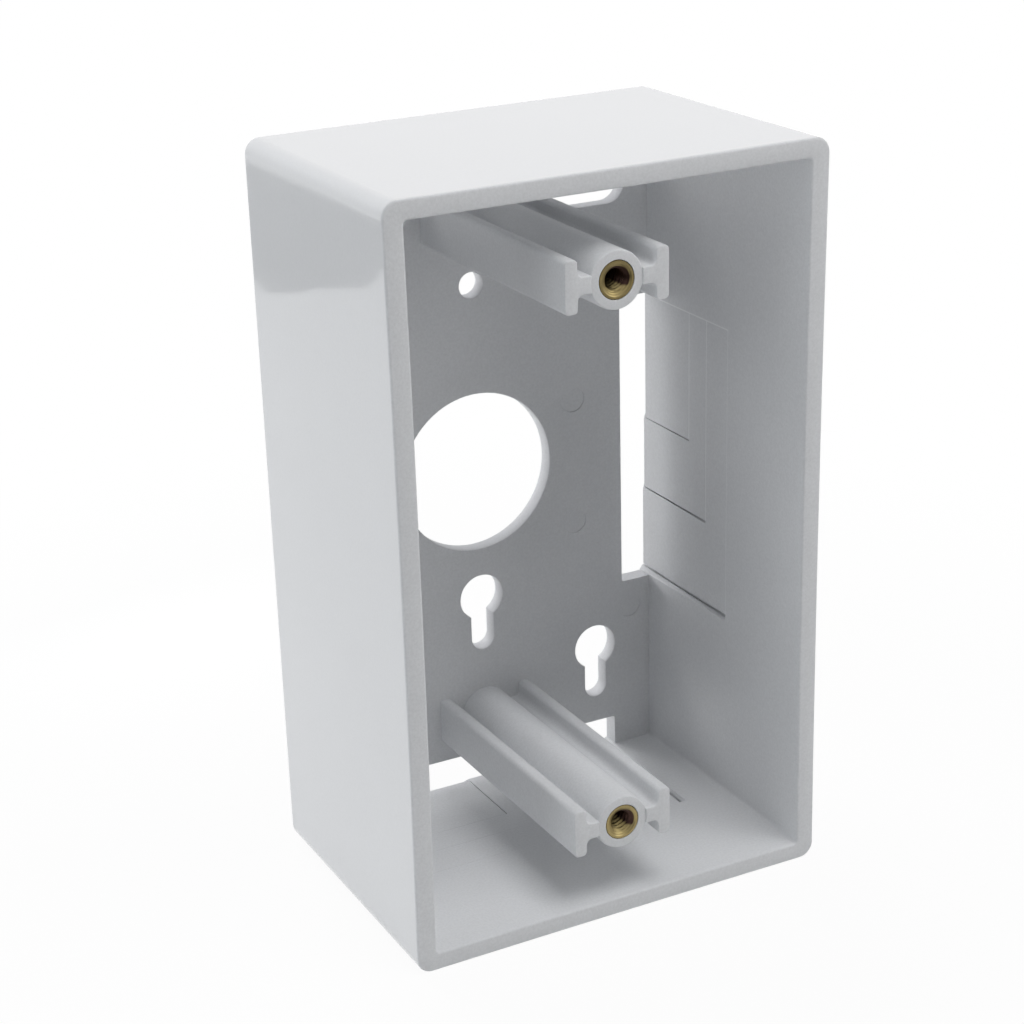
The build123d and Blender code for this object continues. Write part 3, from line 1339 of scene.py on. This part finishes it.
@dataclass(frozen=True)
class ReflectedCard:
    """A dark card that only shows in gloss, like the darker parts of a studio."""

    name: str
    corners: tuple[Triple, ...]
    strength: float

    def place(self) -> None:
        """Adds the card to the scene."""
        material = bpy.data.materials.new(self.name)
        tree = ShaderTree.cleared(material)
        grey = tree.add("Emission", {"Strength": self.strength})
        tree.add("OutputMaterial", {"Surface": grey.outputs[0]})
        card = add_object(self.name, flat_mesh(self.name, self.corners, material))
        card.visible_camera = False
        card.visible_diffuse = False
        card.visible_shadow = False
        card.visible_transmission = False
        card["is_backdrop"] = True


@dataclass
class Studio:
    """Floor, world, lamps, cards and camera round the box.

    Attributes:
        floor_z: Level of the floor.
        lamps: The lamps, with places in millimetres and powers in watts.
        camera_place: Where the camera is; its heading, pitch and roll are in degrees.
        floor_glow: How white the floor is to the eye, near the box and far from it.
        floor_glow_reach: Distances from the middle, in metres, between which it changes.
        strip_place: x and y of the dark strip that the left side mirrors.
        strip_outline: The strip's corners: across the view, and z.
        table_reach: Ends of the dark table in x and y, in front of the box.
        card_lift: How far the table and the aisle lie above the floor.
        aisle_reach: x of the far end of the aisle, which runs on from the table.
        room_reach: Ends of the dark room in x, and its top.
        front_strength: Brightness of the table and the room.
    """

    floor_z: float
    lamps: tuple[SoftLamp, ...] = (
        SoftLamp("overhead_lamp", (80.0, -260.0, 640.0), 350.0, 2.15),
        SoftLamp("rear_overhead_lamp", (0.0, 420.0, 650.0), 400.0, 1.67, tint=(1.0, 0.99, 1.03)),
        SoftLamp("rear_lamp", (-120.0, 560.0, 120.0), 340.0, 1.55),
        SoftLamp("slot_lamp", (-28.0, 110.0, 0.0), 60.0, 0.05),
        SoftLamp("left_lamp", (-650.0, -60.0, 120.0), 500.0, 1.6, tint=(0.96, 1.0, 1.03)),
        SoftLamp("front_right_lamp", (500.0, -520.0, 250.0), 400.0, 0.86, is_mirrored=True),
        SoftLamp("right_lamp", (620.0, -250.0, 200.0), 400.0, 0.64),
    )
    camera_place: Triple = (-154.08, -310.69, 127.13)
    camera_heading: float = 27.848
    camera_pitch: float = -22.597
    camera_roll: float = -1.511
    focal_length: float = 81.67
    sensor_width: float = 36.0
    shift: Pair = (-0.0158, 0.0525)
    near_limit: float = 10.0
    floor_half: float = 3000.0
    floor_albedo: float = 0.8
    floor_glow: Pair = (0.95, 1.0)
    floor_glow_reach: Pair = (0.08, 0.2)
    strip_place: Pair = (-200.0, 260.0)
    strip_outline: tuple[Pair, ...] = (
        (20.0, -46.0),
        (29.5, -49.4),
        (30.2, -51.2),
        (32.8, -54.3),
        (40.1, -53.4),
        (46.9, -52.6),
        (50.5, -53.7),
        (59.2, -52.8),
        (60.5, -51.3),
        (61.8, -49.1),
        (66.0, -45.0),
        (66.0, -14.0),
        (20.0, -41.6),
    )
    strip_strength: float = 0.0
    table_reach: tuple[Pair, Pair] = ((-60, 900), (-1000, -90))
    card_lift: float = 0.3
    aisle_reach: float = -900
    aisle_strength: float = 0.05
    room_reach: tuple[Pair, float] = ((-1400, 150), 900)
    front_strength: float = 0.42

    def add_floor(self) -> None:
        """Adds a plain floor that is white to the eye and shows the object's shadow."""
        material = bpy.data.materials.new("studio_white")
        tree = ShaderTree.cleared(material)
        place = tree.add("TexCoord").outputs["Object"]
        away = tree.add("VectorMath", {0: place}, operation="LENGTH").outputs["Value"]
        share = tree.ramp(away, self.floor_glow, self.floor_glow_reach, is_smooth=True)
        matte = tree.add("BsdfDiffuse", {"Color": (*[self.floor_albedo] * 3, 1.0)})
        glow = tree.add("Emission", {"Strength": 1.0})
        shaders = {0: tree.seen(share), 1: matte.outputs[0], 2: glow.outputs[0]}
        surface = tree.add("MixShader", shaders)
        tree.add("OutputMaterial", {"Surface": surface.outputs[0]})
        span = (-self.floor_half, self.floor_half)
        corners = level_rectangle(span, span, self.floor_z)
        floor = add_object("studio_floor", flat_mesh("studio_floor", corners, material))
        floor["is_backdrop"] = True

    @staticmethod
    def add_world() -> None:
        """Makes the surroundings white to the eye and in gloss, and unlit for matte surfaces."""
        world = bpy.data.worlds.new("studio_surroundings")
        bpy.context.scene.world = world
        tree = ShaderTree.cleared(world)
        inputs = {"Color": (1.0, 1.0, 1.0, 1.0), "Strength": tree.seen(1.0)}
        tree.add("OutputWorld", {"Surface": tree.add("Background", inputs).outputs[0]})

    def cards(self) -> tuple[ReflectedCard, ...]:
        """Gives the dark strip that the left side mirrors, and the dark places in front.

        Returns:
            The cards.
        """
        x, y = self.strip_place
        turn = np.radians(self.camera_heading)
        strip = tuple(
            (x + across * np.cos(turn), y + across * np.sin(turn), up)
            for across, up in self.strip_outline
        )
        level = self.floor_z + self.card_lift
        across, along = self.table_reach
        table = level_rectangle(across, along, level)
        aisle = level_rectangle((self.aisle_reach, across[0]), along, level)
        (left, right), top = self.room_reach
        outline = ((left, level), (right, level), (right, top), (left, top))
        room = tuple((x, along[0], z) for x, z in outline)
        return (
            ReflectedCard("dark_strip", strip, self.strip_strength),
            ReflectedCard("dark_table", table, self.front_strength),
            ReflectedCard("dark_aisle", aisle, self.aisle_strength),
            ReflectedCard("dark_room", room, self.front_strength),
        )

    def add_camera(self) -> None:
        """Adds the camera, turned by its heading, pitch and roll."""
        data = bpy.data.cameras.new("photo_camera")
        data.lens = self.focal_length
        data.sensor_width = self.sensor_width
        data.shift_x, data.shift_y = self.shift
        data.clip_start = self.near_limit * MM
        camera = add_object("photo_camera", data)
        heading = Matrix.Rotation(-np.radians(self.camera_heading), 4, "Z")
        pitch = Matrix.Rotation(np.radians(90 + self.camera_pitch), 4, "X")
        roll = Matrix.Rotation(np.radians(self.camera_roll), 4, "Z")
        place = Matrix.Translation(Vector(self.camera_place) * MM)
        camera.matrix_world = place @ heading @ pitch @ roll
        bpy.context.scene.camera = camera

    def build(self) -> None:
        """Builds the whole studio."""
        self.add_floor()
        self.add_world()
        for card in self.cards():
            card.place()
        for lamp in self.lamps:
            lamp.hang()
        self.add_camera()
        bpy.context.scene.view_settings.view_transform = "Standard"


@dataclass
class SurfaceMountBox:
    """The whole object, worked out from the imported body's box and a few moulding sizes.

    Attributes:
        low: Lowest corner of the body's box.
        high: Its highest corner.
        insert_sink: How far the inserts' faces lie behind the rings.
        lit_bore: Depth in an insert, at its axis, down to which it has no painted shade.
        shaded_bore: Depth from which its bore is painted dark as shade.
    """

    low: Array
    high: Array
    back_wall: float = 2.8
    post_setback: float = 0.25
    insert_spacing: float = 83.34
    insert_sink: float = 0.05
    lit_bore: float = 0.34
    shaded_bore: float = 0.48

    def shell(self) -> Shell:
        """Sizes the side walls, whose sharp front would be wider than their rounded rim.

        Returns:
            The side walls.
        """
        _, depth, _ = self.high - self.low
        shell = Shell(width=0.0, height=0.0, depth=depth)
        rim = 2 * shell.outer_draft * shell.rim_radius / depth
        shell.width, _, shell.height = self.high - self.low + rim
        return shell

    def build(self) -> None:
        """Builds every piece and gives each its finish."""
        shell = self.shell()
        top = shell.depth - self.post_setback
        face = top - self.insert_sink
        walls = ((shell.width, shell.side_wall), (shell.height, shell.end_wall))
        middle = tuple((size - wall) / 2 * MM for size, wall in walls)
        unevenness = unevenness_group()
        plastic = MouldedPlastic(
            wall_middle=middle, rim=-(shell.depth - shell.rim_radius) * MM
        ).material(unevenness)
        brass = TurnedBrass(
            lit_y=-(face - self.lit_bore) * MM,
            shaded_y=-(face - self.shaded_bore) * MM,
            axis_z=self.insert_spacing / 2 * MM,
        ).material(unevenness)
        shell.build(plastic)
        BackWall(
            half_x=shell.width / 2 - shell.side_wall - shell.inner_draft,
            half_z=shell.height / 2 - shell.end_wall - shell.inner_draft,
            thickness=self.back_wall,
        ).build(plastic)
        posts = {
            "upper": (self.insert_spacing / 2, Node.UPPER_INSERT),
            "lower": (-self.insert_spacing / 2, Node.LOWER_INSERT),
        }
        for end, (place, node) in posts.items():
            ScrewPost(f"{end}_post", height=place, base=self.back_wall, top=top).build(plastic)
            BrassInsert(f"{end}_brass", height=place, top=face, replaced=node).build(brass)


def main() -> None:
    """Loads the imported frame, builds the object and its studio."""
    logging.basicConfig(level=logging.INFO, format="%(name)s: %(message)s")
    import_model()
    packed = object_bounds()
    low, high = (np.array(corner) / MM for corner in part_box(Node.BODY.value))
    SurfaceMountBox(low, high).build()
    floor_level = packed[0][2] / MM
    Studio(floor_z=floor_level).build()


if __name__ == "__main__":
    main()
